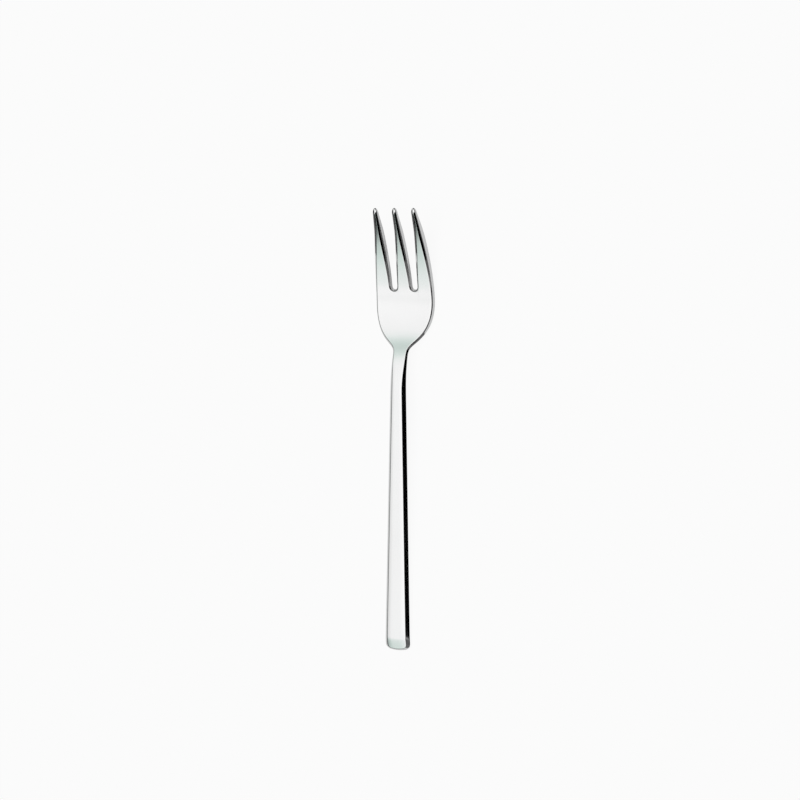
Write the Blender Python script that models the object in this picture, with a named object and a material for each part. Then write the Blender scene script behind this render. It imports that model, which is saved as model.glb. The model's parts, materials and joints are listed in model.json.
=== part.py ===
"""Dessert fork with three tines, forged and polished from one piece of stainless steel.

A flat blank gets its outline and slots in plan, then the bevelled section along its rim,
then the side view that arches the neck and lifts the tines. At last it is laid on a table.
Metres, +Y towards the tines, +Z up, with the origin under the middle of the fork.
"""

import math

import bmesh
import bpy
import numpy as np
from mathutils import Matrix, Vector
from mathutils.geometry import interpolate_bezier

# Lengths in plan, one after the other from the end of the handle
HANDLE_LENGTH = 0.0915
NECK_LENGTH = 0.0140
FLARE_LENGTH = 0.0170
PALM_LENGTH = 0.0053
TINE_LENGTH = 0.0272

# Full widths in plan, from edge to edge
HANDLE_END_WIDTH = 0.0094
HANDLE_NECK_WIDTH = 0.0059
NECK_WIDTH = 0.00565
HEAD_WIDTH = 0.02235
TIP_PITCH = 0.0073
MIDDLE_TINE_WIDTH = 0.00595
OUTER_TINE_WIDTH = 0.00625
TINE_TIP_WIDTH = 0.0016
HANDLE_CORNER_RADIUS = 0.0024

# How far the curves of the plan keep their direction before they turn
NECK_EASE = 0.0050
FLARE_EASE = 0.0030
SHOULDER_EASE = 0.0131
PALM_EASE = 0.0130
TIP_EASE = 0.0090
TIP_LEAN = math.radians(10)

# How long the tines stay broad before they taper
MIDDLE_TINE_FULLNESS = 1.4
OUTER_TINE_FULLNESS = 1.6

# Side view: the face of the handle is level, the bowl hangs below it and the tines rise again
BEND_LEAD = 0.0015
BOWL_SETBACK = 0.0002
BOWL_DROP = 0.00635
TIP_RISE = 0.00995
TIP_SLOPE = math.radians(28)
BEND_EASE = 0.0150
BOWL_EASE = 0.0152
ROOT_EASE = 0.0063
TINE_EASE = 0.0048

# Thickness of the metal
HANDLE_THICKNESS = 0.0026
NECK_THICKNESS = 0.0017
BOWL_THICKNESS = 0.0018
TINE_THICKNESS = 0.0024
TIP_THICKNESS = 0.0014

# Width of the broken edge of the polished face
HANDLE_EDGE_BREAK = 0.00022
NECK_EDGE_BREAK = 0.00010
BOWL_EDGE_BREAK = 0.00020
TINE_EDGE_BREAK = 0.00012
TIP_EDGE_BREAK = 0.00010
EDGE_BREAK_ANGLE = math.radians(15)

# Width of the bevel between that edge and the flank
HANDLE_BEVEL = 0.00095
NECK_BEVEL = 0.00022
BOWL_BEVEL = 0.00030
TINE_BEVEL = 0.00075
TIP_BEVEL = 0.00045
BEVEL_ANGLE = math.radians(50)
TINE_BEVEL_ANGLE = math.radians(36)

# How far the flank leans outwards on its way down
HANDLE_DRAFT = math.radians(35)
NECK_DRAFT = math.radians(34)
BOWL_DRAFT = math.radians(16)
TINE_DRAFT = math.radians(26)
TIP_DRAFT = math.radians(20)

# Chamfer between the flank and the back
HANDLE_BACK_CHAMFER = 0.00105
NECK_BACK_CHAMFER = 0.00090
BOWL_BACK_CHAMFER = 0.00035
TINE_BACK_CHAMFER = 0.00028
TIP_BACK_CHAMFER = 0.00025

# Soft forms of the face, while the back stays flat
HANDLE_CROWN = 0.00022
BOWL_DISH = 0.00010
END_BULGE = 0.00020
END_SLOPE = math.radians(11)
END_SLOPE_LENGTH = 0.0045
END_EASE = 0.0006
END_RIM_SHARE = 0.5
TIP_ROLL = 0.00033
TIP_ROLL_LENGTH = 0.0012
LEAST_FACE = 0.00008

# Steps of the mesh: columns from the middle outwards, rows from the end of the handle
MIDDLE_COLUMNS = 2
SLOT_COLUMNS = 8
OUTER_COLUMNS = 4
CORNER_ROWS = 5
END_ROWS = 4
HANDLE_ROWS = 8
NECK_ROWS = 8
FLARE_ROWS = 16
PALM_ROWS = 4
TINE_ROWS = 20
TIP_ROWS = 3
CURVE_STEPS = 160
SLOT_FADE = 0.5
RIM_LEVELS = 5
SETTLE_PASSES = 6

NECK_Y = HANDLE_LENGTH + NECK_LENGTH
WIDEST_Y = NECK_Y + FLARE_LENGTH
SLOT_Y = WIDEST_Y + PALM_LENGTH
TIP_Y = SLOT_Y + TINE_LENGTH
BOWL_Y = WIDEST_Y - BOWL_SETBACK
THICK_TINE_Y = SLOT_Y + 0.65 * TINE_LENGTH
STATIONS = (HANDLE_LENGTH, NECK_Y, BOWL_Y, THICK_TINE_Y, TIP_Y)


def curve(start, start_handle, end_handle, end):
    """Points of a cubic curve as rows of (along, across)."""
    points = [Vector(p) for p in (start, start_handle, end_handle, end)]
    return np.array([p[:2] for p in interpolate_bezier(*points, CURVE_STEPS)])


def chain(*pieces):
    """Joins pieces of a curve that share their end points."""
    return np.vstack([pieces[0], *(piece[1:] for piece in pieces[1:])])


def reading(points):
    """Two functions of the distance along: the curve's value and its slope."""
    along, value = points[:, 0], points[:, 1]
    slope = np.gradient(value, along)
    return (lambda y: float(np.interp(y, along, value))), (lambda y: float(np.interp(y, along, slope)))


def edge_curve():
    """Half the width of the fork at its outer edge, seen in plan."""
    end, joint, neck = HANDLE_END_WIDTH / 2, HANDLE_NECK_WIDTH / 2, NECK_WIDTH / 2
    head, tip = HEAD_WIDTH / 2, TIP_PITCH + TINE_TIP_WIDTH / 2
    taper = (joint - end) / HANDLE_LENGTH
    lean = math.tan(TIP_LEAN)
    return chain(
        np.array([(0.0, end), (HANDLE_LENGTH, joint)]),
        curve(
            (HANDLE_LENGTH, joint),
            (HANDLE_LENGTH + NECK_EASE, joint + taper * NECK_EASE),
            (NECK_Y - NECK_EASE, neck),
            (NECK_Y, neck),
        ),
        curve(
            (NECK_Y, neck),
            (NECK_Y + FLARE_EASE, neck),
            (WIDEST_Y - SHOULDER_EASE, head),
            (WIDEST_Y, head),
        ),
        curve(
            (WIDEST_Y, head),
            (WIDEST_Y + PALM_EASE, head),
            (TIP_Y - TIP_EASE, tip + lean * TIP_EASE),
            (TIP_Y, tip),
        ),
    )


def side_curve():
    """Height of the face along the middle of the fork, with the handle level at zero."""
    bend = HANDLE_LENGTH - BEND_LEAD
    rise = TIP_RISE - BOWL_DROP
    lean = math.tan(TIP_SLOPE)
    return chain(
        np.array([(0.0, 0.0), (bend, 0.0)]),
        curve((bend, 0.0), (bend + BEND_EASE, 0.0), (BOWL_Y - BOWL_EASE, -BOWL_DROP), (BOWL_Y, -BOWL_DROP)),
        curve(
            (BOWL_Y, -BOWL_DROP),
            (BOWL_Y + ROOT_EASE, -BOWL_DROP),
            (TIP_Y - TINE_EASE, rise - lean * TINE_EASE),
            (TIP_Y, rise),
        ),
    )


half_width, half_width_slope = reading(edge_curve())
face_height, face_slope = reading(side_curve())


def blend(y, *sizes):
    """A size that passes smoothly through its values at the handle, neck, bowl, tines and tips."""
    place = float(np.interp(y, STATIONS, range(len(STATIONS))))
    first = min(int(place), len(STATIONS) - 2)
    share = place - first
    share = share * share * (3 - 2 * share)
    return sizes[first] * (1 - share) + sizes[first + 1] * share


def rim(y):
    """Section of the rim as (outwards, downwards): face, broken edge, bevel, flank and back."""
    thickness = blend(y, HANDLE_THICKNESS, NECK_THICKNESS, BOWL_THICKNESS, TINE_THICKNESS, TIP_THICKNESS)
    broken = blend(
        y, HANDLE_EDGE_BREAK, NECK_EDGE_BREAK, BOWL_EDGE_BREAK, TINE_EDGE_BREAK, TIP_EDGE_BREAK
    )
    bevel = blend(y, HANDLE_BEVEL, NECK_BEVEL, BOWL_BEVEL, TINE_BEVEL, TIP_BEVEL)
    angle = blend(y, BEVEL_ANGLE, BEVEL_ANGLE, BEVEL_ANGLE, TINE_BEVEL_ANGLE, TINE_BEVEL_ANGLE)
    draft = blend(y, HANDLE_DRAFT, NECK_DRAFT, BOWL_DRAFT, TINE_DRAFT, TIP_DRAFT)
    chamfer = blend(
        y, HANDLE_BACK_CHAMFER, NECK_BACK_CHAMFER, BOWL_BACK_CHAMFER, TINE_BACK_CHAMFER, TIP_BACK_CHAMFER
    )
    edge_drop = broken * math.tan(EDGE_BREAK_ANGLE)
    drop = edge_drop + bevel * math.tan(angle)
    edge = broken + bevel + (thickness - chamfer - drop) * math.tan(draft)
    return (
        (0.0, 0.0),
        (broken, edge_drop),
        (broken + bevel, drop),
        (edge, thickness - chamfer),
        (edge - chamfer, thickness),
    )


def edge_run(y):
    """How far the outer edge stands out from the face."""
    return rim(y)[3][0]


FACE_START = edge_run(0.0) * END_RIM_SHARE
FACE_END = TIP_Y - edge_run(TIP_Y)
FACE_CORNER = HANDLE_CORNER_RADIUS - FACE_START


def face_edge(y):
    """Half the width of the polished face, without the slots."""
    corner = min(max(FACE_START + FACE_CORNER - y, 0.0), FACE_CORNER)
    rounding = FACE_CORNER - math.sqrt(FACE_CORNER**2 - corner**2)
    return half_width(y) - edge_run(y) * math.hypot(1, half_width_slope(y)) - rounding


def tine_half(y, root_width, fullness):
    """Half the width of a tine at its edge."""
    share = max(y - SLOT_Y, 0.0) / TINE_LENGTH
    return (root_width + (TINE_TIP_WIDTH - root_width) * share**fullness) / 2


def tine_faces(y):
    """Where the faces lie: half of the middle tine, then the near and far side of an outer one."""
    middle = max(tine_half(y, MIDDLE_TINE_WIDTH, MIDDLE_TINE_FULLNESS) - edge_run(y), LEAST_FACE)
    half = tine_half(y, OUTER_TINE_WIDTH, OUTER_TINE_FULLNESS)
    centre = half_width(y) - half
    outer = max(half - edge_run(y), LEAST_FACE)
    return middle, centre - outer, centre + outer


def row_places():
    """Distance of each row of the mesh from the end of the handle."""
    turn = np.linspace(0, math.pi / 2, CORNER_ROWS + 1)
    roll_start = FACE_END - TIP_ROLL_LENGTH
    stops = (
        (HANDLE_CORNER_RADIUS, END_SLOPE_LENGTH, END_ROWS),
        (END_SLOPE_LENGTH, HANDLE_LENGTH, HANDLE_ROWS),
        (HANDLE_LENGTH, NECK_Y, NECK_ROWS),
        (NECK_Y, WIDEST_Y, FLARE_ROWS),
        (WIDEST_Y, SLOT_Y, PALM_ROWS),
        (SLOT_Y, roll_start, TINE_ROWS),
        (roll_start, FACE_END, TIP_ROWS),
    )
    straight = [np.linspace(start, end, rows + 1)[1:] for start, end, rows in stops]
    return np.concatenate([FACE_START + FACE_CORNER * (1 - np.cos(turn)), *straight])


ROWS = row_places()
SLOT_ROW = len(ROWS) - 1 - TINE_ROWS - TIP_ROWS
SLOT_EDGE = MIDDLE_COLUMNS + SLOT_COLUMNS
ALL_COLUMNS = SLOT_EDGE + OUTER_COLUMNS


def tine_column(column, y):
    """Place across of a column that runs along a tine."""
    middle, near, far = tine_faces(y)
    if column <= MIDDLE_COLUMNS:
        return middle * column / MIDDLE_COLUMNS
    if column >= SLOT_EDGE:
        return near + (far - near) * (column - SLOT_EDGE) / OUTER_COLUMNS
    turn = math.pi * (column - MIDDLE_COLUMNS) / SLOT_COLUMNS
    return (near + middle - (near - middle) * math.cos(turn)) / 2


def plan(column, row):
    """Place in plan of a crossing of the mesh: the slots end in a half round."""
    side = math.copysign(1, column)
    column = abs(column)
    y = ROWS[row]
    if row > SLOT_ROW:
        return side * tine_column(column, y), y
    share = tine_column(column, SLOT_Y) / tine_faces(SLOT_Y)[2]
    across = face_edge(y) * share
    if MIDDLE_COLUMNS < column < SLOT_EDGE:
        middle, near, _ = tine_faces(SLOT_Y)
        turn = math.pi * (column - MIDDLE_COLUMNS) / SLOT_COLUMNS
        y -= (near - middle) / 2 * math.sin(turn) * SLOT_FADE ** (SLOT_ROW - row)
    if row == 0:
        y -= END_BULGE * (1 - share**2)
    return side * across, y


def add_blank(bm):
    """The fork as a flat plate in plan, with its slots open and its rim cut into levels."""
    last = len(ROWS) - 1
    counts = Matrix.Diagonal((2 * ALL_COLUMNS, last, 1, 1))
    bmesh.ops.create_grid(
        bm,
        x_segments=2 * ALL_COLUMNS,
        y_segments=last,
        size=0.5,
        matrix=Matrix.Translation((0, last / 2, 0)) @ counts,
    )
    slots = []
    for face in bm.faces:
        middle = face.calc_center_median()
        if middle.y > SLOT_ROW and MIDDLE_COLUMNS < abs(middle.x) < SLOT_EDGE:
            slots.append(face)
    bmesh.ops.delete(bm, geom=slots, context="FACES")
    for vert in bm.verts:
        vert.co.x, vert.co.y = plan(round(vert.co.x), round(vert.co.y))

    lower = bmesh.ops.extrude_face_region(bm, geom=bm.faces[:])["geom"]
    lower = [item for item in lower if isinstance(item, bmesh.types.BMVert)]
    bmesh.ops.translate(bm, verts=lower, vec=(0, 0, 1 - RIM_LEVELS))
    uprights = [edge for edge in bm.edges if abs(edge.verts[0].co.z - edge.verts[1].co.z) > 1]
    bmesh.ops.subdivide_edges(bm, edges=uprights, cuts=RIM_LEVELS - 2)
    bmesh.ops.recalc_face_normals(bm, faces=bm.faces[:])


def rim_directions(bm):
    """The way out of the plate in plan at each point of its rim, and none inside it."""
    directions = {}
    for vert in bm.verts:
        walls = [face.normal for face in vert.link_faces if abs(face.normal.z) < 0.5]
        directions[vert] = sum(walls, Vector()).normalized()
    return directions


def sink(x, y):
    """How far the face lies below its side view: sloped end, rolled tips, crown and dish."""
    near_end = max(END_SLOPE_LENGTH - y, 0.0)
    near_tip = max(1 - (FACE_END - y) / TIP_ROLL_LENGTH, 0.0)
    across = x / half_width(y)
    slope = math.tan(END_SLOPE) * (math.hypot(near_end, END_EASE) - END_EASE)
    crown = blend(y, HANDLE_CROWN, 0, 0, 0, 0) * across**4
    dish = blend(y, 0, 0, BOWL_DISH, 0, 0) * across**2
    return slope + TIP_ROLL * near_tip**2 + crown - dish


def form(bm):
    """Gives the plate its section and its side view."""
    for vert, outwards in rim_directions(bm).items():
        x, y, level = vert.co.x, vert.co.y, -round(vert.co.z)
        section = rim(y)
        run, depth = section[level]
        depth += sink(x, y) * (1 - depth / section[-1][1])
        if y < END_SLOPE_LENGTH:
            run *= 1 - (1 - END_RIM_SHARE) * min(outwards.y, 0.0) ** 2
        flat = Vector((x, y, 0)) + outwards * run
        slope = math.atan(face_slope(flat.y))
        vert.co = (
            flat.x,
            flat.y + depth * math.sin(slope),
            face_height(flat.y) - depth * math.cos(slope),
        )


def lowest(verts):
    return min(verts, key=lambda vert: vert.co.z).co.copy()


def lay_down(bm):
    """Tips the fork until the end of its handle and its bowl both touch the table."""
    for _ in range(SETTLE_PASSES):
        heel = lowest(vert for vert in bm.verts if vert.co.y < HANDLE_LENGTH)
        belly = lowest(vert for vert in bm.verts if vert.co.y > HANDLE_LENGTH)
        tip = math.atan2(heel.z - belly.z, belly.y - heel.y)
        bmesh.ops.rotate(bm, verts=bm.verts[:], cent=heel, matrix=Matrix.Rotation(tip, 3, "X"))
    lengths = [vert.co.y for vert in bm.verts]
    middle = (min(lengths) + max(lengths)) / 2
    bmesh.ops.translate(bm, verts=bm.verts[:], vec=(0, -middle, -lowest(bm.verts).z))


def polished_steel():
    material = bpy.data.materials.new("polished_stainless_steel")
    material.use_nodes = True
    shader = material.node_tree.nodes["Principled BSDF"]
    shader.inputs["Base Color"].default_value = (0.79, 0.81, 0.80, 1)
    shader.inputs["Metallic"].default_value = 1.0
    shader.inputs["Roughness"].default_value = 0.12
    return material


def add_fork():
    bm = bmesh.new()
    add_blank(bm)
    form(bm)
    lay_down(bm)
    bmesh.ops.recalc_face_normals(bm, faces=bm.faces[:])
    mesh = bpy.data.meshes.new("fork")
    bm.to_mesh(mesh)
    bm.free()
    mesh.shade_smooth()
    mesh.set_sharp_from_angle(angle=math.radians(25))
    mesh.materials.append(polished_steel())
    bpy.context.scene.collection.objects.link(bpy.data.objects.new("fork", mesh))


for old in list(bpy.data.objects):
    bpy.data.objects.remove(old, do_unlink=True)
add_fork()
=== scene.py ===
"""A polished dessert fork, lying face up on a white table under one large softbox.

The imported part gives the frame, in metres: +Y towards the tines, +Z up, the table at z = 0.
"""

import json
import math

import bmesh
import bpy
import numpy as np
from mathutils import Matrix, Vector
from mathutils.geometry import interpolate_bezier


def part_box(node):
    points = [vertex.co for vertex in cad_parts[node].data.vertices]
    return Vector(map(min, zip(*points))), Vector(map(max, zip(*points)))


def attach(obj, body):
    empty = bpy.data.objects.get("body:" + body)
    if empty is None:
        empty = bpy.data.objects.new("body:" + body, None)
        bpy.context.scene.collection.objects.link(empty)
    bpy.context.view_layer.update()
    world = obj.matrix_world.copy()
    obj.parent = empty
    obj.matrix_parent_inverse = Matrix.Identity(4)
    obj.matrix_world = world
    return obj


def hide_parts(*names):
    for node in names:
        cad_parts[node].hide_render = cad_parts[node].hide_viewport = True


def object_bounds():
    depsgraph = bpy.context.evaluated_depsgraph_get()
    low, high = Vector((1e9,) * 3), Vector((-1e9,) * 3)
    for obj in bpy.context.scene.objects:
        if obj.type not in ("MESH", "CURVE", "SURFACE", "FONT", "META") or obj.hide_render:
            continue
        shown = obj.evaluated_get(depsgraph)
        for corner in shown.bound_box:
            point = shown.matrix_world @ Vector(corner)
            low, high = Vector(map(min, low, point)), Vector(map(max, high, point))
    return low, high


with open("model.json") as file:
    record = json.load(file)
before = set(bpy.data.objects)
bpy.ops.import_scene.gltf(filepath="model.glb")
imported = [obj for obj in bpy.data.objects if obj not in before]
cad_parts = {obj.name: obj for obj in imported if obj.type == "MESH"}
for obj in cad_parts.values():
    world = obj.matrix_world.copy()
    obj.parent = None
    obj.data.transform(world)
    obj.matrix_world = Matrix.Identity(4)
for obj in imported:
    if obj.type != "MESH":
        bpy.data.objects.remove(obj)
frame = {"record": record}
cad_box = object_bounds()


# Blank
# The fork starts as a strip of stainless steel, stamped to its outline with two slots that end
# in half rounds. It lies flat here, with the end of its handle at y = 0.
HANDLE_LENGTH = 0.0915
NECK_LENGTH = 0.0140
FLARE_LENGTH = 0.0170
PALM_LENGTH = 0.0053
TINE_LENGTH = 0.0272
NECK_Y = HANDLE_LENGTH + NECK_LENGTH
WIDEST_Y = NECK_Y + FLARE_LENGTH
SLOT_Y = WIDEST_Y + PALM_LENGTH
TIP_Y = SLOT_Y + TINE_LENGTH

HANDLE_END_WIDTH = 0.0096
HANDLE_NECK_WIDTH = 0.0061
NECK_WIDTH = 0.0058
HEAD_WIDTH = 0.0224
TIP_PITCH = 0.0073
MIDDLE_TINE_WIDTH = 0.0058
OUTER_TINE_WIDTH = 0.0062
TINE_TIP_WIDTH = 0.0016
MIDDLE_TINE_FULLNESS = 1.4
OUTER_TINE_FULLNESS = 1.6
CORNER_RADIUS = 0.00215
END_BULGE = 0.0002
END_ROLL_Y = 0.0049
TIP_ROLL_LENGTH = 0.0009

NECK_EASE = 0.0050
FLARE_EASE = 0.0030
SHOULDER_EASE = 0.0131
PALM_EASE = 0.0130
TIP_EASE = 0.0090
TIP_LEAN = math.tan(math.radians(10))
CURVE_POINTS = 400


def bezier(*points):
    """A cubic curve as rows of (along, value)."""
    return np.array([p[:2] for p in interpolate_bezier(*map(Vector, points), CURVE_POINTS)])


def edge_curve():
    """Half the width of the fork at its outer edge, from the end of the handle to the tips."""
    end, joint, neck = HANDLE_END_WIDTH / 2, HANDLE_NECK_WIDTH / 2, NECK_WIDTH / 2
    head, tip = HEAD_WIDTH / 2, TIP_PITCH + TINE_TIP_WIDTH / 2
    narrowing = (joint - end) / HANDLE_LENGTH * NECK_EASE
    return np.vstack(
        [
            (0, end),
            bezier(
                (HANDLE_LENGTH, joint),
                (HANDLE_LENGTH + NECK_EASE, joint + narrowing),
                (NECK_Y - NECK_EASE, neck),
                (NECK_Y, neck),
            ),
            bezier(
                (NECK_Y, neck),
                (NECK_Y + FLARE_EASE, neck),
                (WIDEST_Y - SHOULDER_EASE, head),
                (WIDEST_Y, head),
            )[1:],
            bezier(
                (WIDEST_Y, head),
                (WIDEST_Y + PALM_EASE, head),
                (TIP_Y - TIP_EASE, tip + TIP_LEAN * TIP_EASE),
                (TIP_Y, tip),
            )[1:],
        ]
    )


EDGE = edge_curve()
EDGE_SLOPE = np.gradient(EDGE[:, 1], EDGE[:, 0])


def half_width(y):
    """Half the width of the fork at distance y from the end of its handle."""
    return np.interp(y, EDGE[:, 0], EDGE[:, 1])


# Rim
# Forging presses a bevel along the face and leaves a drafted flank and a softened back edge, and
# polishing breaks the face's edge. The face is a grid that follows the tines, and the rim is
# extruded from it in loops.
TINE_STATION = 0.65
STATIONS = (HANDLE_LENGTH, NECK_Y, WIDEST_Y, SLOT_Y + TINE_STATION * TINE_LENGTH, TIP_Y)
# Sizes and angles at these stations: handle, neck, bowl, upper half of the tines, tips
THICKNESS = (0.0026, 0.0017, 0.0018, 0.0021, 0.0013)
EDGE_BREAK = (0.00022, 0.0001, 0.0002, 0.00006, 0.00003)
EDGE_BREAK_ANGLE = 15
BEVEL = (0.00086, 0.00022, 0.0003, 0.0009, 0.00072)
BEVEL_ANGLE = (50, 50, 50, 26, 22)
FLANK_DRAFT = (35, 34, 16, 21, 12)
BACK_CHAMFER = (0.00115, 0.0009, 0.00035, 0.00028, 0.00025)
# Loops of the rim as places along its corners: 0 face, 1 edge break, 2 bevel, 3 widest edge, 4 back
RIM_LOOPS = (0, 0.5, 1, 1.15, 1.7, 2, 2.45, 2.85, 3, 3.5, 4)
LEAST_FACE = 0.00008


def blend(y, sizes):
    """A size at distance y along the fork, eased between its values at the stations."""
    place = np.interp(y, STATIONS, range(len(STATIONS)))
    first = min(int(place), len(STATIONS) - 2)
    share = place - first
    share = share * share * (3 - 2 * share)
    return sizes[first] * (1 - share) + sizes[first + 1] * share


def rim(y):
    """How far each loop of the rim lies outside the face's edge, and how far below it."""
    edge, bevel, chamfer = blend(y, EDGE_BREAK), blend(y, BEVEL), blend(y, BACK_CHAMFER)
    thickness = blend(y, THICKNESS)
    edge_fall = edge * math.tan(math.radians(EDGE_BREAK_ANGLE))
    bevel_fall = edge_fall + bevel * math.tan(math.radians(blend(y, BEVEL_ANGLE)))
    draft = math.tan(math.radians(blend(y, FLANK_DRAFT)))
    widest = edge + bevel + (thickness - chamfer - bevel_fall) * draft
    corners = range(5)
    outwards = (0, edge, edge + bevel, widest, widest - chamfer)
    downwards = (0, edge_fall, bevel_fall, thickness - chamfer, thickness)
    return np.interp(RIM_LOOPS, corners, outwards), np.interp(RIM_LOOPS, corners, downwards)


def overhang(y):
    """How far the widest edge stands out from the face."""
    return rim(y)[0].max()


# The rim is narrower round the end of the handle
END_SHARE = 0.5
FACE_START = overhang(0) * END_SHARE
FACE_END = TIP_Y - overhang(TIP_Y)
FACE_CORNER = CORNER_RADIUS - FACE_START


def face_edge(y):
    """Half the width of the polished face, with the handle's corners rounded off."""
    slope = np.interp(y, EDGE[:, 0], EDGE_SLOPE)
    into_corner = np.clip(FACE_START + FACE_CORNER - y, 0, FACE_CORNER)
    rounding = FACE_CORNER - math.sqrt(FACE_CORNER**2 - into_corner**2)
    return half_width(y) - overhang(y) * math.hypot(1, slope) - rounding


def tine_half(y, root_width, fullness):
    """Half the width of a tine at its widest edge."""
    share = max(y - SLOT_Y, 0) / TINE_LENGTH
    return (root_width + (TINE_TIP_WIDTH - root_width) * share**fullness) / 2


def tine_faces(y):
    """Edges of the tines' faces across: of the middle one, then near and far on an outer one."""
    middle = max(tine_half(y, MIDDLE_TINE_WIDTH, MIDDLE_TINE_FULLNESS) - overhang(y), LEAST_FACE)
    half = tine_half(y, OUTER_TINE_WIDTH, OUTER_TINE_FULLNESS)
    centre = half_width(y) - half
    outer = max(half - overhang(y), LEAST_FACE)
    return middle, centre - outer, centre + outer


# The grid's columns keep close to the edges, which hold the bevels crisp under subdivision
MIDDLE_SHARES = (0, 0.5, 0.88, 1)
OUTER_SHARES = (0, 0.12, 0.5, 0.88, 1)
SLOT_COLUMNS = 6
SLOT_START = len(MIDDLE_SHARES) - 1
SLOT_END = SLOT_START + SLOT_COLUMNS
COLUMNS = SLOT_END + len(OUTER_SHARES) - 1
CORNER_ROWS, END_ROWS, HANDLE_ROWS, NECK_ROWS = 5, 3, 7, 8
FLARE_ROWS, PALM_ROWS, TINE_ROWS, TIP_ROWS = 12, 3, 14, 3
TIP_ROLL_Y = FACE_END - TIP_ROLL_LENGTH


def even_rows(start, end, count):
    """Rows of the grid after start, up to end."""
    return np.linspace(start, end, count + 1)[1:]


ROWS = np.concatenate(
    [
        FACE_START + FACE_CORNER * (1 - np.cos(np.linspace(0, math.pi / 2, CORNER_ROWS + 1))),
        even_rows(FACE_START + FACE_CORNER, END_ROLL_Y, END_ROWS),
        even_rows(END_ROLL_Y, HANDLE_LENGTH, HANDLE_ROWS),
        even_rows(HANDLE_LENGTH, NECK_Y, NECK_ROWS),
        even_rows(NECK_Y, WIDEST_Y, FLARE_ROWS),
        even_rows(WIDEST_Y, SLOT_Y, PALM_ROWS),
        even_rows(SLOT_Y, TIP_ROLL_Y, TINE_ROWS),
        even_rows(TIP_ROLL_Y, FACE_END, TIP_ROWS),
    ]
)
SLOT_ROW = len(ROWS) - 1 - TINE_ROWS - TIP_ROWS
# Each row below the slots follows their half rounds by this share of the row above it
SLOT_FADE = 0.5


def across_tines(column, y):
    """Place of a column across the fork where the slots part it."""
    middle, near, far = tine_faces(y)
    if column <= SLOT_START:
        return middle * MIDDLE_SHARES[column]
    if column >= SLOT_END:
        return near + (far - near) * OUTER_SHARES[column - SLOT_END]
    turn = math.pi * (column - SLOT_START) / SLOT_COLUMNS
    return (near + middle - (near - middle) * math.cos(turn)) / 2


def in_plan(column, row):
    """Place of a crossing of the grid on the flat blank."""
    side, column, y = math.copysign(1, column), abs(column), ROWS[row]
    if row > SLOT_ROW:
        return side * across_tines(column, y), y
    middle, near, far = tine_faces(SLOT_Y)
    share = across_tines(column, SLOT_Y) / far
    x = side * face_edge(y) * share
    if SLOT_START < column < SLOT_END:
        turn = math.pi * (column - SLOT_START) / SLOT_COLUMNS
        y -= (near - middle) / 2 * math.sin(turn) * SLOT_FADE ** (SLOT_ROW - row)
    if row == 0:
        y -= END_BULGE * (1 - share**2)
    return x, y


# The grid starts with one unit to a column and a row, and is then laid out in plan
bm = bmesh.new()
last_row = len(ROWS) - 1
spread = Matrix.Diagonal((2 * COLUMNS, last_row, 1, 1))
bmesh.ops.create_grid(
    bm,
    x_segments=2 * COLUMNS,
    y_segments=last_row,
    size=0.5,
    matrix=Matrix.Translation((0, last_row / 2, 0)) @ spread,
)
slots = []
for face in bm.faces:
    cell = face.calc_center_median()
    if cell.y > SLOT_ROW and SLOT_START < abs(cell.x) < SLOT_END:
        slots.append(face)
bmesh.ops.delete(bm, geom=slots, context="FACES")
for vert in bm.verts:
    vert.co.x, vert.co.y = in_plan(round(vert.co.x), round(vert.co.y))

# The rim's loops stand one unit apart until they are pressed to their section
extruded = bmesh.ops.extrude_face_region(bm, geom=bm.faces[:])["geom"]
back = [item for item in extruded if isinstance(item, bmesh.types.BMVert)]
bmesh.ops.translate(bm, verts=back, vec=(0, 0, 1 - len(RIM_LOOPS)))
uprights = [edge for edge in bm.edges if abs(edge.verts[0].co.z - edge.verts[1].co.z) > 1]
bmesh.ops.subdivide_edges(bm, edges=uprights, cuts=len(RIM_LOOPS) - 2)
bmesh.ops.recalc_face_normals(bm, faces=bm.faces[:])


# Forged form
# The press bends the neck down into the bowl and lifts the tines, crowns the handle's face a
# little, dishes the bowl and rolls the end of the handle and the tips. The back stays flat across.
BEND_Y = HANDLE_LENGTH - 0.0015
BOWL_Y = WIDEST_Y - 0.0002
BOWL_DROP = 0.00635
TIP_RISE = 0.0096
TIP_SLOPE = math.tan(math.radians(28))
BEND_EASE = 0.0142
BOWL_EASE = 0.0132
ROOT_EASE = 0.0073
TINE_EASE = 0.0048
SIDE = np.vstack(
    [
        (0, 0),
        bezier(
            (BEND_Y, 0),
            (BEND_Y + BEND_EASE, 0),
            (BOWL_Y - BOWL_EASE, -BOWL_DROP),
            (BOWL_Y, -BOWL_DROP),
        ),
        bezier(
            (BOWL_Y, -BOWL_DROP),
            (BOWL_Y + ROOT_EASE, -BOWL_DROP),
            (TIP_Y - TINE_EASE, TIP_RISE - BOWL_DROP - TIP_SLOPE * TINE_EASE),
            (TIP_Y, TIP_RISE - BOWL_DROP),
        )[1:],
    ]
)
SIDE_SLOPE = np.gradient(SIDE[:, 1], SIDE[:, 0])
HANDLE_CROWN = (0.00022, 0, 0, 0, 0)
BOWL_DISH = (0, 0, 0.0001, 0, 0)
END_SLOPE = math.tan(math.radians(11.2))
END_EASE = 0.0006
TIP_ROLL = 0.00025

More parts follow.
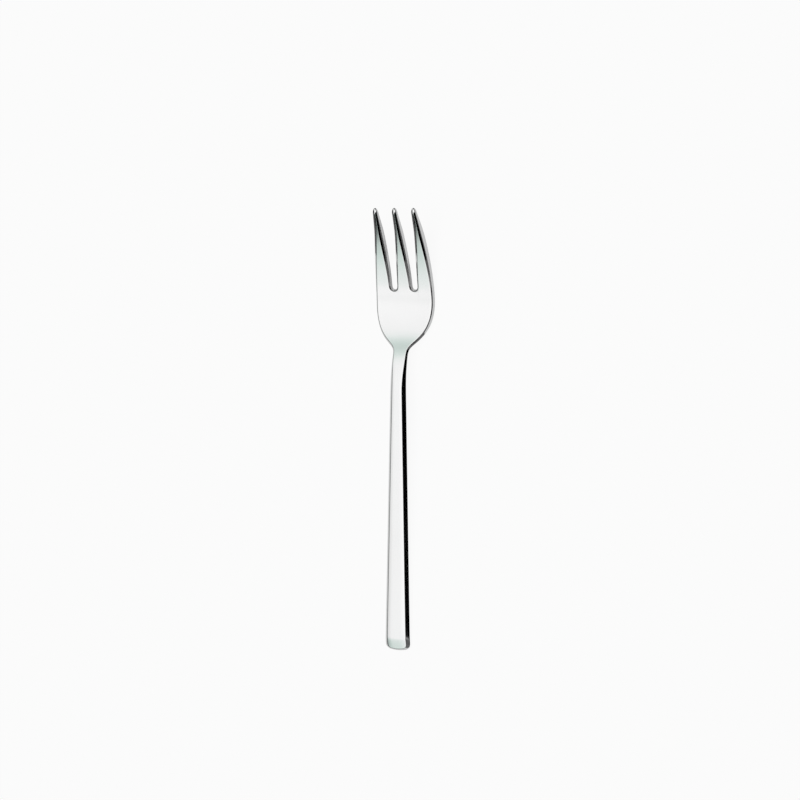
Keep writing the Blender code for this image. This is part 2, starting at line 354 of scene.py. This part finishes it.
# The rim's upright faces give the way out of the blank at each point
ways_out = {}
for vert in bm.verts:
    upright = [face.normal for face in vert.link_faces if abs(face.normal.z) < 0.5]
    ways_out[vert] = sum(upright, Vector()).normalized()
for vert, way_out in ways_out.items():
    x, y, loop = vert.co.x, vert.co.y, -round(vert.co.z)
    outwards, downwards = rim(y)
    depth = downwards[loop]
    near_face = 1 - depth / downwards[-1]
    across = x / half_width(y)
    near_end = max(END_ROLL_Y - y, 0)
    near_tip = max((y - TIP_ROLL_Y) / TIP_ROLL_LENGTH, 0)
    sink = END_SLOPE * (math.hypot(near_end, END_EASE) - END_EASE) + TIP_ROLL * near_tip**2
    sink += blend(y, HANDLE_CROWN) * across**4 - blend(y, BOWL_DISH) * across**2
    depth += near_face * sink
    reach = outwards[loop]
    if y < END_ROLL_Y:
        reach *= 1 - (1 - END_SHARE) * min(way_out.y, 0) ** 2
    place = Vector((x, y, 0)) + way_out * reach
    slope = math.atan(np.interp(place.y, SIDE[:, 0], SIDE_SLOPE))
    place.z = np.interp(place.y, SIDE[:, 0], SIDE[:, 1]) - depth * math.cos(slope)
    place.y += depth * math.sin(slope)
    vert.co = place

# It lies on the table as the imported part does, which gives the tilt of the handle's underside
underside = Vector(frame["record"]["mounts"][0]["axis"])
tilt = Matrix.Rotation(math.atan2(underside.y, -underside.z), 3, "X")
bmesh.ops.rotate(bm, verts=bm.verts[:], matrix=tilt)
lowest = Vector(map(min, *(vert.co for vert in bm.verts)))
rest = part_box("fork")[0]
bmesh.ops.translate(bm, verts=bm.verts[:], vec=(0, rest.y - lowest.y, rest.z - lowest.z))
bmesh.ops.recalc_face_normals(bm, faces=bm.faces[:])

fork_mesh = bpy.data.meshes.new("polished_fork")
bm.to_mesh(fork_mesh)
bm.free()
fork_mesh.shade_smooth()
fork = bpy.data.objects.new("polished_fork", fork_mesh)
bpy.context.scene.collection.objects.link(fork)
smoothing = fork.modifiers.new("smooth_forging", "SUBSURF")
smoothing.levels = smoothing.render_levels = 2


# Polish
# The whole fork is buffed to a mirror. What is left is a faint waviness, fine buffing lines along
# its length, and a thin haze where it has been handled.
STEEL = (0.82, 0.82, 0.82, 1)
HAZED_STEEL = (0.79, 0.79, 0.79, 1)
HAZE_SCALE = 90.0
HAZE_RANGE = (0.3, 0.75)
CLEAR_ROUGHNESS, HAZED_ROUGHNESS = 0.05, 0.10
BUFFING_SCALE = (5000, 120, 5000)
BUFFING_ROUGHNESS = 0.03
BUFFING_DEPTH = 1.5e-7
WAVE_SCALE = 220.0
WAVE_HEIGHT = 2e-6

steel = bpy.data.materials.new("mirror_polished_steel")
steel.use_nodes = True
nodes, links = steel.node_tree.nodes, steel.node_tree.links
shader = nodes["Principled BSDF"]
shader.inputs["Metallic"].default_value = 1.0
places = nodes.new("ShaderNodeTexCoord").outputs["Object"]

haze = nodes.new("ShaderNodeTexNoise")
haze.inputs["Scale"].default_value = HAZE_SCALE
haze.inputs["Detail"].default_value = 5.0
links.new(places, haze.inputs["Vector"])
haze_colour = nodes.new("ShaderNodeMix")
haze_colour.data_type = "RGBA"
haze_colour.inputs["A"].default_value = STEEL
haze_colour.inputs["B"].default_value = HAZED_STEEL
links.new(haze.outputs["Fac"], haze_colour.inputs["Factor"])
links.new(haze_colour.outputs["Result"], shader.inputs["Base Color"])

along = nodes.new("ShaderNodeMapping")
along.inputs["Scale"].default_value = BUFFING_SCALE
links.new(places, along.inputs["Vector"])
buffing = nodes.new("ShaderNodeTexNoise")
buffing.inputs["Scale"].default_value = 1.0
buffing.inputs["Detail"].default_value = 3.0
links.new(along.outputs["Vector"], buffing.inputs["Vector"])

shine = nodes.new("ShaderNodeMapRange")
shine.inputs["From Min"].default_value, shine.inputs["From Max"].default_value = HAZE_RANGE
shine.inputs["To Min"].default_value = CLEAR_ROUGHNESS
shine.inputs["To Max"].default_value = HAZED_ROUGHNESS
links.new(haze.outputs["Fac"], shine.inputs["Value"])
lines_in_shine = nodes.new("ShaderNodeMath")
lines_in_shine.operation = "MULTIPLY_ADD"
lines_in_shine.inputs[1].default_value = BUFFING_ROUGHNESS
links.new(buffing.outputs["Fac"], lines_in_shine.inputs[0])
links.new(shine.outputs["Result"], lines_in_shine.inputs[2])
links.new(lines_in_shine.outputs["Value"], shader.inputs["Roughness"])

waves = nodes.new("ShaderNodeTexNoise")
waves.inputs["Scale"].default_value = WAVE_SCALE
waves.inputs["Detail"].default_value = 1.0
links.new(places, waves.inputs["Vector"])
wave_bump = nodes.new("ShaderNodeBump")
wave_bump.inputs["Strength"].default_value = 1.0
wave_bump.inputs["Distance"].default_value = WAVE_HEIGHT
links.new(waves.outputs["Fac"], wave_bump.inputs["Height"])
line_bump = nodes.new("ShaderNodeBump")
line_bump.inputs["Strength"].default_value = 1.0
line_bump.inputs["Distance"].default_value = BUFFING_DEPTH
links.new(buffing.outputs["Fac"], line_bump.inputs["Height"])
links.new(wave_bump.outputs["Normal"], line_bump.inputs["Normal"])
links.new(line_bump.outputs["Normal"], shader.inputs["Normal"])
fork_mesh.materials.append(steel)

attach(fork, "root")
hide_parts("fork")


# Table
# A sheet of white card, large enough to fill every view. The camera sees it almost evenly white,
# with a faint shadow under the fork, and the steel mirrors it dimmer than that.
TABLE_SIZE = 6.0
TABLE_WHITE = (0.50, 0.50, 0.50, 1)
WHITE_TO_CAMERA = 0.93
WHITE_TO_STEEL = 0.3

bm = bmesh.new()
bmesh.ops.create_grid(bm, x_segments=1, y_segments=1, size=TABLE_SIZE / 2)
table_mesh = bpy.data.meshes.new("white_table")
bm.to_mesh(table_mesh)
bm.free()
table = bpy.data.objects.new("white_table", table_mesh)
bpy.context.scene.collection.objects.link(table)

card = bpy.data.materials.new("white_card")
card.use_nodes = True
nodes, links = card.node_tree.nodes, card.node_tree.links
nodes.clear()
paper = nodes.new("ShaderNodeBsdfDiffuse")
paper.inputs["Color"].default_value = TABLE_WHITE
glow = nodes.new("ShaderNodeEmission")
ray = nodes.new("ShaderNodeLightPath")
to_steel = nodes.new("ShaderNodeMath")
to_steel.operation = "MULTIPLY"
to_steel.inputs[1].default_value = WHITE_TO_STEEL
links.new(ray.outputs["Is Glossy Ray"], to_steel.inputs[0])
whiteness = nodes.new("ShaderNodeMath")
whiteness.operation = "MULTIPLY_ADD"
whiteness.inputs[1].default_value = WHITE_TO_CAMERA
links.new(ray.outputs["Is Camera Ray"], whiteness.inputs[0])
links.new(to_steel.outputs["Value"], whiteness.inputs[2])
surface = nodes.new("ShaderNodeMixShader")
links.new(whiteness.outputs["Value"], surface.inputs["Fac"])
links.new(paper.outputs["BSDF"], surface.inputs[1])
links.new(glow.outputs["Emission"], surface.inputs[2])
output = nodes.new("ShaderNodeOutputMaterial")
links.new(surface.outputs["Shader"], output.inputs["Surface"])
table_mesh.materials.append(card)


# Light
# A round softbox hangs over the fork, white in its middle and greenish towards its rim, dimmer on
# the fork's left and cut short on its right. Dim boards stand round it in a dark room, and a fill
# lamp above lights the card without showing in the steel.
SOFTBOX = (
    # degrees from straight up, brightness on the handle's side and on the tines' side
    (0, 1.30, 1.30),
    (17, 1.28, 1.28),
    (20, 1.20, 1.20),
    (24, 1.15, 1.15),
    (26.5, 1.11, 1.13),
    (28.5, 1.09, 1.12),
    (31.5, 1.11, 1.105),
    (33.9, 1.11, 1.09),
    (35.5, 1.095, 1.06),
    (36.5, 1.05, 1.045),
    (37.5, 1.03, 0.985),
    (38.2, 1.02, 0.93),
    (38.9, 1.015, 0.88),
    (39.6, 1.005, 0.79),
    (40.5, 0.99, 0.66),
    (41.5, 0.97, 0.53),
    (43, 0.90, 0.38),
    (44, 0.83, 0.31),
    (45, 0.785, 0.25),
    (46, 0.72, 0.20),
    (47, 0.53, 0.15),
    (47.8, 0.32, 0.11),
    (48.4, 0.18, 0.08),
    (49, 0.07, 0.06),
    (49.5, 0.025, 0.04),
    (50.5, 0.0, 0.01),
    (52, 0.0, 0.0),
)
RIM_TINT = np.array((0.86, 1.0, 0.945))
TINTED_LEVEL, WHITE_LEVEL = 0.85, 1.10
# Where it changes, as parts of a direction along the fork and across it
TOWARDS_TINES = (-0.1, 0.1)
LEFT_DIMMING, LEFT_LEVEL = (-0.64, -0.44), 0.4
RIGHT_CUT = (0.26, 0.10)
world = bpy.data.worlds.new("studio")
world.use_nodes = True
bpy.context.scene.world = world
nodes, links = world.node_tree.nodes, world.node_tree.links
direction = nodes.new("ShaderNodeSeparateXYZ")
links.new(nodes.new("ShaderNodeTexCoord").outputs["Generated"], direction.inputs["Vector"])
softbox = nodes.new("ShaderNodeMix")
softbox.data_type = "RGBA"
for column, socket in ((1, "A"), (2, "B")):
    ramp = nodes.new("ShaderNodeValToRGB")
    links.new(direction.outputs["Z"], ramp.inputs["Fac"])
    links.new(ramp.outputs["Color"], softbox.inputs[socket])
    stops = ramp.color_ramp.elements
    while len(stops) > 1:
        stops.remove(stops[0])
    for row in SOFTBOX:
        height, level = math.cos(math.radians(row[0])), row[column]
        stop = stops.new(height) if row[0] else stops[0]
        stop.position = height
        clearness = np.clip((level - TINTED_LEVEL) / (WHITE_LEVEL - TINTED_LEVEL), 0, 1)
        stop.color = (*level * (RIM_TINT + (1 - RIM_TINT) * clearness), 1)
towards_tines = nodes.new("ShaderNodeMapRange")
left_edge = nodes.new("ShaderNodeMapRange")
right_edge = nodes.new("ShaderNodeMapRange")
for part, way, limits in (
    (towards_tines, "Y", TOWARDS_TINES),
    (left_edge, "X", LEFT_DIMMING),
    (right_edge, "X", RIGHT_CUT),
):
    part.inputs["From Min"].default_value, part.inputs["From Max"].default_value = limits
    links.new(direction.outputs[way], part.inputs["Value"])
left_edge.inputs["To Min"].default_value = LEFT_LEVEL
links.new(towards_tines.outputs["Result"], softbox.inputs["Factor"])
softbox_width = nodes.new("ShaderNodeMath")
softbox_width.operation = "MULTIPLY"
links.new(left_edge.outputs["Result"], softbox_width.inputs[0])
links.new(right_edge.outputs["Result"], softbox_width.inputs[1])
softbox_glow = nodes["Background"]
links.new(softbox.outputs["Result"], softbox_glow.inputs["Color"])
links.new(softbox_width.outputs["Value"], softbox_glow.inputs["Strength"])

# The dark lines along the fork's rims mirror the darkest boards and the gaps under and over them
BOARD_EDGE = 0.07
BOARDS = (
    # degrees round from the fork's right, brightness, and sines of the lowest and highest angle
    (-180, 0.45, 0.0, 0.40),
    (-169, 0.45, 0.0, 0.40),
    (-165, 0.10, 0.0, 0.40),
    (-139, 0.10, 0.0, 0.40),
    (-135, 0.45, 0.0, 0.40),
    (-95, 0.45, 0.0, 0.40),
    (-75, 0.15, 0.0, 0.40),
    (-48, 0.15, 0.0, 0.40),
    (-44, 0.15, 0.0, 0.66),
    (-32, 0.15, 0.0, 0.66),
    (-27, 0.12, 0.20, 0.80),
    (-18.5, 0.12, 0.20, 0.80),
    (-16.5, 0.27, 0.20, 0.80),
    (-12.5, 0.27, 0.20, 0.80),
    (-10.5, 0.27, 0.48, 0.80),
    (36, 0.27, 0.48, 0.80),
    (42, 0.23, 0.0, 0.70),
    (160, 0.23, 0.0, 0.70),
    (170, 0.45, 0.0, 0.40),
)
azimuth = nodes.new("ShaderNodeMath")
azimuth.operation = "ARCTAN2"
links.new(direction.outputs["Y"], azimuth.inputs[0])
links.new(direction.outputs["X"], azimuth.inputs[1])
round_table = nodes.new("ShaderNodeMapRange")
round_table.inputs["From Min"].default_value = -math.pi
round_table.inputs["From Max"].default_value = math.pi
links.new(azimuth.outputs["Value"], round_table.inputs["Value"])
board_ramp = nodes.new("ShaderNodeValToRGB")
links.new(round_table.outputs["Result"], board_ramp.inputs["Fac"])
stops = board_ramp.color_ramp.elements
stops.remove(stops[1])
for degrees, level, bottom, top in BOARDS:
    stop = stops.new((degrees + 180) / 360) if degrees > -180 else stops[0]
    stop.color = (level, bottom, top, 1)
board = nodes.new("ShaderNodeSeparateColor")
links.new(board_ramp.outputs["Color"], board.inputs["Color"])
board_level = board.outputs["Red"]
for upper, lower in (
    (direction.outputs["Z"], board.outputs["Green"]),
    (board.outputs["Blue"], direction.outputs["Z"]),
):
    inside = nodes.new("ShaderNodeMath")
    inside.operation = "SUBTRACT"
    links.new(upper, inside.inputs[0])
    links.new(lower, inside.inputs[1])
    board_edge = nodes.new("ShaderNodeMapRange")
    board_edge.inputs["From Max"].default_value = BOARD_EDGE
    links.new(inside.outputs["Value"], board_edge.inputs["Value"])
    masked = nodes.new("ShaderNodeMath")
    masked.operation = "MULTIPLY"
    links.new(board_level, masked.inputs[0])
    links.new(board_edge.outputs["Result"], masked.inputs[1])
    board_level = masked.outputs["Value"]
board_glow = nodes.new("ShaderNodeBackground")
board_glow.inputs["Color"].default_value = (1, 1, 1, 1)
links.new(board_level, board_glow.inputs["Strength"])
studio = nodes.new("ShaderNodeAddShader")
links.new(softbox_glow.outputs["Background"], studio.inputs[0])
links.new(board_glow.outputs["Background"], studio.inputs[1])
# The camera itself sees plain white behind the card
backdrop = nodes.new("ShaderNodeBackground")
backdrop.inputs["Color"].default_value = (1, 1, 1, 1)
seen = nodes.new("ShaderNodeMixShader")
links.new(nodes.new("ShaderNodeLightPath").outputs["Is Camera Ray"], seen.inputs["Fac"])
links.new(studio.outputs["Shader"], seen.inputs[1])
links.new(backdrop.outputs["Background"], seen.inputs[2])
links.new(seen.outputs["Shader"], nodes["World Output"].inputs["Surface"])

FILL_SIZE, FILL_HEIGHT, FILL_WATTS = 1.6, 1.5, 18
fill_lamp = bpy.data.lights.new("fill", "AREA")
fill_lamp.size = FILL_SIZE
fill_lamp.energy = FILL_WATTS
fill = bpy.data.objects.new("fill", fill_lamp)
fill.location = (0, 0, FILL_HEIGHT)
fill.visible_glossy = fill.visible_camera = False
bpy.context.scene.collection.objects.link(fill)


# Camera
# It looks down from the fork's right side and from a little ahead of it, through a long lens. It
# is rolled a little, so that the fork leans in the frame.
SLANT = math.sin(math.radians(25))
LEAD = math.sin(math.radians(2))
ROLL = math.radians(1.22)
DISTANCE = 0.8
FRAME_WIDTH = 0.28
# Where the middle of the frame lies from the middle of the fork, to the right and up
OFF_CENTRE = (0.00133, 0.01085)

backwards = Vector((SLANT, LEAD, math.sqrt(1 - SLANT**2 - LEAD**2)))
rightwards = Vector((0, 1, 0)).cross(backwards).normalized()
upwards = backwards.cross(rightwards)
unrolled = Matrix((rightwards, upwards, backwards)).transposed()
stance = unrolled @ Matrix.Rotation(ROLL, 3, "Z")
fork_middle = (cad_box[0] + cad_box[1]) / 2
aim = fork_middle + stance @ Vector((*OFF_CENTRE, 0))
lens = bpy.data.cameras.new("camera")
lens.sensor_width = 36
lens.lens = lens.sensor_width * DISTANCE / FRAME_WIDTH
camera = bpy.data.objects.new("camera", lens)
camera.matrix_world = Matrix.Translation(aim + DISTANCE * stance.col[2]) @ stance.to_4x4()
bpy.context.scene.collection.objects.link(camera)
bpy.context.scene.camera = camera
bpy.context.scene.view_settings.view_transform = "Standard"
